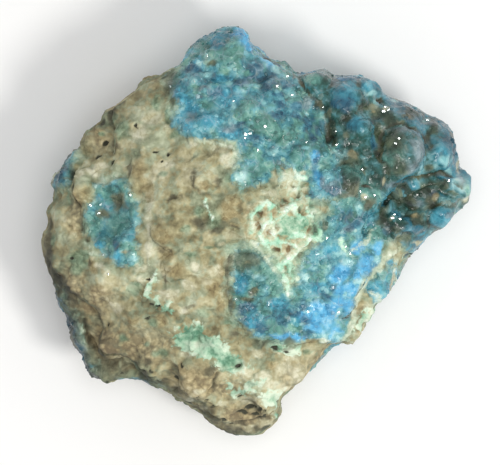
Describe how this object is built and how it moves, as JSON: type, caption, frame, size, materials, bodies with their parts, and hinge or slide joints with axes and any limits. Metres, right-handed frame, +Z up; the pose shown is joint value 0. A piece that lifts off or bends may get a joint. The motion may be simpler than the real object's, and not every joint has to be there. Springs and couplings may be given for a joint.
{
  "type": "malachite specimen",
  "caption": "Palm-size lump of malachite ore: tan limonite matrix under a blue-green drusy crust, lying on its flattest face.",
  "frame": {"origin": "centre of the bounding box on the ground plane, under the middle of the lump", "axes": "+Z up from the flat base to the show face; +X along the specimen's length, towards the glassy wing; +Y across it, towards the blue tip"},
  "size_m": [0.0618, 0.059, 0.035],
  "materials": {
    "matrix": "dull, granular limonite with pits",
    "druse": "glittering blue-green druse, glassy on its globules",
    "malachite_crust": "pale mint green, velvety",
    "black_oxide": "black grains in the pits"
  },
  "bodies": {
    "root": {"malachite_specimen": "matrix"}
  },
  "joints": []
}
